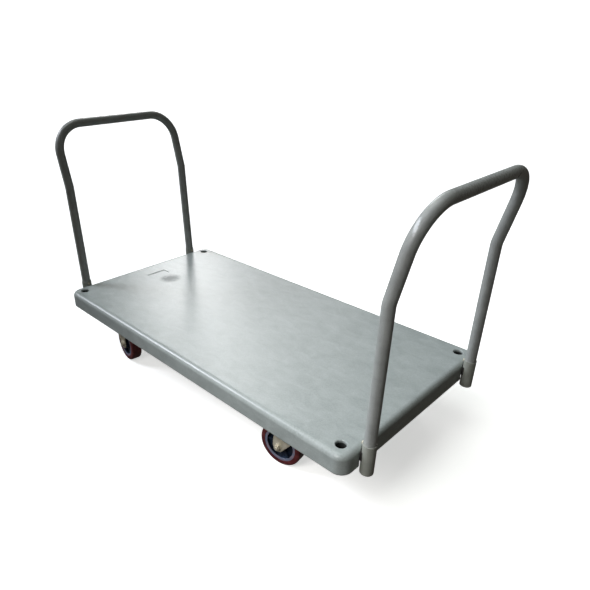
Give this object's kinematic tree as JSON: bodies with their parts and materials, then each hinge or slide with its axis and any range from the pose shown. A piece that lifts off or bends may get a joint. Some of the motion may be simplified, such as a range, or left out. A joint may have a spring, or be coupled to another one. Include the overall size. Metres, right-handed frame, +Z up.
{
  "type": "flatbed platform truck",
  "caption": "Flatbed platform truck: a flat moulded deck on swivel casters, with a lift-off tubular push handle at each end and stake holes at the corners.",
  "frame": {"origin": "on the floor, under the centre of the deck", "axes": "+X along the deck's length, +Y across the deck, +Z up"},
  "size_m": [1.7298, 0.75, 0.9396],
  "materials": {
    "deck_polymer": "moulded, satin",
    "handle_paint": "powder coated",
    "socket_paint": "powder coated",
    "frame_paint": "powder coated",
    "zinc_steel": "zinc plated",
    "bearing_steel": "ground",
    "core_plastic": "moulded",
    "tread_polyurethane": "cast, smooth",
    "plug_plastic": "moulded"
  },
  "bodies": {
    "frame": {"deck": "deck_polymer", "rail_front": "frame_paint", "rail_rear": "frame_paint", "cross_member_left": "frame_paint", "cross_member_centre": "frame_paint", "cross_member_right": "frame_paint", "caster_pad_left_front": "frame_paint", "socket_left_front": "socket_paint", "top_plate_left_front": "zinc_steel", "caster_pad_left_rear": "frame_paint", "socket_left_rear": "socket_paint", "top_plate_left_rear": "zinc_steel", "caster_pad_right_front": "frame_paint", "socket_right_front": "socket_paint", "top_plate_right_front": "zinc_steel", "caster_pad_right_rear": "frame_paint", "socket_right_rear": "socket_paint", "top_plate_right_rear": "zinc_steel", "socket_stops": "socket_paint", "set_screws": "zinc_steel", "caster_bolts": "zinc_steel", "caster_nuts": "zinc_steel", "deck_screws": "zinc_steel", "kingpins": "zinc_steel", "kingpin_nuts": "zinc_steel", "race_balls": "bearing_steel"},
    "left_handle": {"handle_left": "handle_paint", "handle_plugs_left": "plug_plastic"},
    "right_handle": {"handle_right": "handle_paint", "handle_plugs_right": "plug_plastic"},
    "swivel_left_front": {"fork_left_front": "zinc_steel", "axle_bolt_left_front": "zinc_steel", "axle_nut_left_front": "zinc_steel", "axle_spacers_left_front": "bearing_steel"},
    "wheel_left_front": {"wheel_core_left_front": "core_plastic", "wheel_tread_left_front": "tread_polyurethane", "wheel_bearings_left_front": "bearing_steel"},
    "swivel_left_rear": {"fork_left_rear": "zinc_steel", "axle_bolt_left_rear": "zinc_steel", "axle_nut_left_rear": "zinc_steel", "axle_spacers_left_rear": "bearing_steel"},
    "wheel_left_rear": {"wheel_core_left_rear": "core_plastic", "wheel_tread_left_rear": "tread_polyurethane", "wheel_bearings_left_rear": "bearing_steel"},
    "swivel_right_front": {"fork_right_front": "zinc_steel", "axle_bolt_right_front": "zinc_steel", "axle_nut_right_front": "zinc_steel", "axle_spacers_right_front": "bearing_steel"},
    "wheel_right_front": {"wheel_core_right_front": "core_plastic", "wheel_tread_right_front": "tread_polyurethane", "wheel_bearings_right_front": "bearing_steel"},
    "swivel_right_rear": {"fork_right_rear": "zinc_steel", "axle_bolt_right_rear": "zinc_steel", "axle_nut_right_rear": "zinc_steel", "axle_spacers_right_rear": "bearing_steel"},
    "wheel_right_rear": {"wheel_core_right_rear": "core_plastic", "wheel_tread_right_rear": "tread_polyurethane", "wheel_bearings_right_rear": "bearing_steel"}
  },
  "joints": [
    {"name": "left_handle_lift", "type": "slide", "parent": "frame", "child": "left_handle", "axis": [-0.0436, 0, 0.999], "range_m": [0, 0.15]},
    {"name": "right_handle_lift", "type": "slide", "parent": "frame", "child": "right_handle", "axis": [0.0436, 0, 0.999], "range_m": [0, 0.15]},
    {"name": "swivel_turn_left_front", "type": "hinge", "parent": "frame", "child": "swivel_left_front", "pos_m": [-0.4935, -0.2796, 0.195], "axis": [0, 0, 1], "continuous": true},
    {"name": "wheel_spin_left_front", "type": "hinge", "parent": "swivel_left_front", "child": "wheel_left_front", "pos_m": [-0.44899, -0.28625, 0.075], "axis": [-0.1478, -0.989, 0], "continuous": true},
    {"name": "swivel_turn_left_rear", "type": "hinge", "parent": "frame", "child": "swivel_left_rear", "pos_m": [-0.4935, 0.2796, 0.195], "axis": [0, 0, 1], "continuous": true},
    {"name": "wheel_spin_left_rear", "type": "hinge", "parent": "swivel_left_rear", "child": "wheel_left_rear", "pos_m": [-0.44899, 0.28625, 0.075], "axis": [0.1478, -0.989, 0], "continuous": true},
    {"name": "swivel_turn_right_front", "type": "hinge", "parent": "frame", "child": "swivel_right_front", "pos_m": [0.4935, -0.2796, 0.195], "axis": [0, 0, 1], "continuous": true},
    {"name": "wheel_spin_right_front", "type": "hinge", "parent": "swivel_right_front", "child": "wheel_right_front", "pos_m": [0.44899, -0.28625, 0.075], "axis": [-0.1478, 0.989, 0], "continuous": true},
    {"name": "swivel_turn_right_rear", "type": "hinge", "parent": "frame", "child": "swivel_right_rear", "pos_m": [0.4935, 0.2796, 0.195], "axis": [0, 0, 1], "continuous": true},
    {"name": "wheel_spin_right_rear", "type": "hinge", "parent": "swivel_right_rear", "child": "wheel_right_rear", "pos_m": [0.44899, 0.28625, 0.075], "axis": [0.1478, 0.989, 0], "continuous": true}
  ]
}
